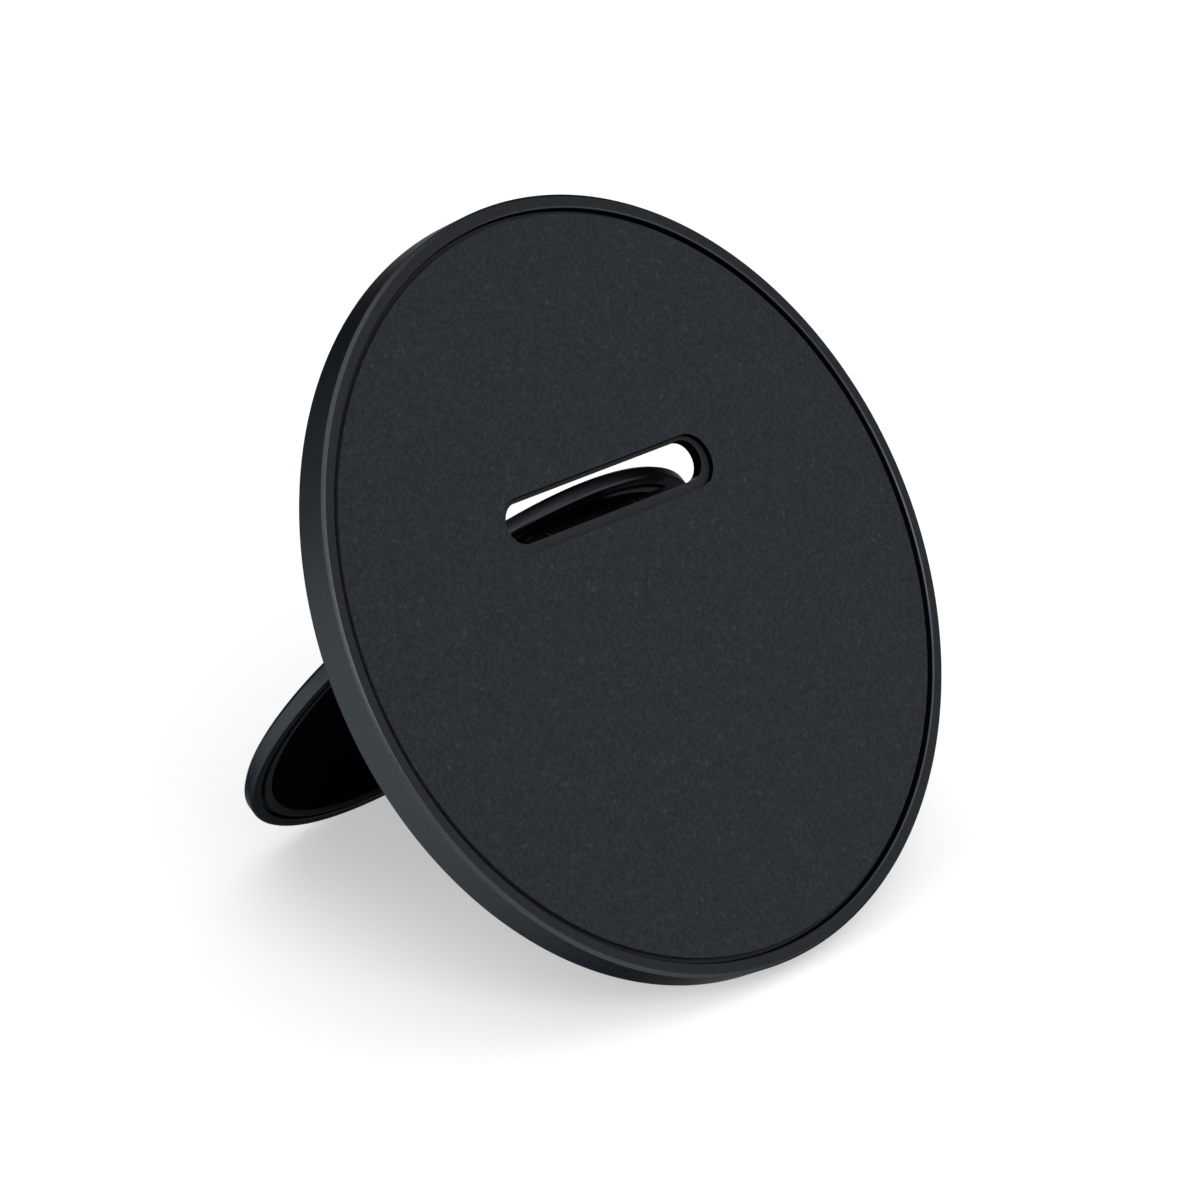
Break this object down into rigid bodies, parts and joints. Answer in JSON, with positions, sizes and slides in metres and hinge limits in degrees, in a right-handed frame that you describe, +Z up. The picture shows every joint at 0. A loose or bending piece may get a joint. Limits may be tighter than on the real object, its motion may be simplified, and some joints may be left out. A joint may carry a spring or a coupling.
{
  "type": "folding magnetic phone stand",
  "caption": "Round magnetic phone stand: a thin padded disc with a slot, held leaning back by a smaller round leg that folds out behind it on a friction hinge.",
  "frame": {"origin": "on the surface the stand rests on, under the middle of its bounding box, in the standing pose", "axes": "+Z up, +X along the hinge pin, +Y to the back; the pad faces -Y and up"},
  "size_m": [0.06, 0.0462, 0.053],
  "materials": {
    "disc_housing": "fine matte black anodised",
    "front_pad": "fine-grained soft-touch charcoal",
    "pad_adhesive": "clear film",
    "magnet_carrier": "smooth matte black",
    "ring_magnets": "nickel plated",
    "carrier_adhesive": "clear film",
    "carrier_screws": "black zinc",
    "shield_ring": "plain rolled steel",
    "shield_adhesive": "clear film",
    "hinge_bracket": "black coated steel",
    "bracket_screws": "black zinc",
    "hinge_pin": "ground steel",
    "pin_caps": "black coated steel",
    "thrust_washers": "black nylon",
    "leg_disc": "fine matte black anodised",
    "leg_inlay": "satin black",
    "inlay_adhesive": "clear film",
    "hinge_leaf": "black coated steel",
    "leaf_screws": "black zinc",
    "friction_sleeve": "spring steel"
  },
  "bodies": {
    "disc": {"disc_housing": "disc_housing", "front_pad": "front_pad", "pad_adhesive": "pad_adhesive", "magnet_carrier": "magnet_carrier", "ring_magnets": "ring_magnets", "carrier_adhesive": "carrier_adhesive", "carrier_screws": "carrier_screws", "shield_ring": "shield_ring", "shield_adhesive": "shield_adhesive", "hinge_bracket": "hinge_bracket", "bracket_screws": "bracket_screws", "hinge_pin": "hinge_pin", "pin_caps": "pin_caps", "thrust_washers": "thrust_washers"},
    "leg": {"leg_disc": "leg_disc", "leg_inlay": "leg_inlay", "inlay_adhesive": "inlay_adhesive", "hinge_leaf": "hinge_leaf", "leaf_screws": "leaf_screws", "friction_sleeve": "friction_sleeve"}
  },
  "joints": [
    {"name": "leg_hinge", "type": "hinge", "parent": "disc", "child": "leg", "pos_m": [0, -0.00237, 0.03002], "axis": [1, 0, 0], "range_deg": [-67.86, 32.14]}
  ]
}
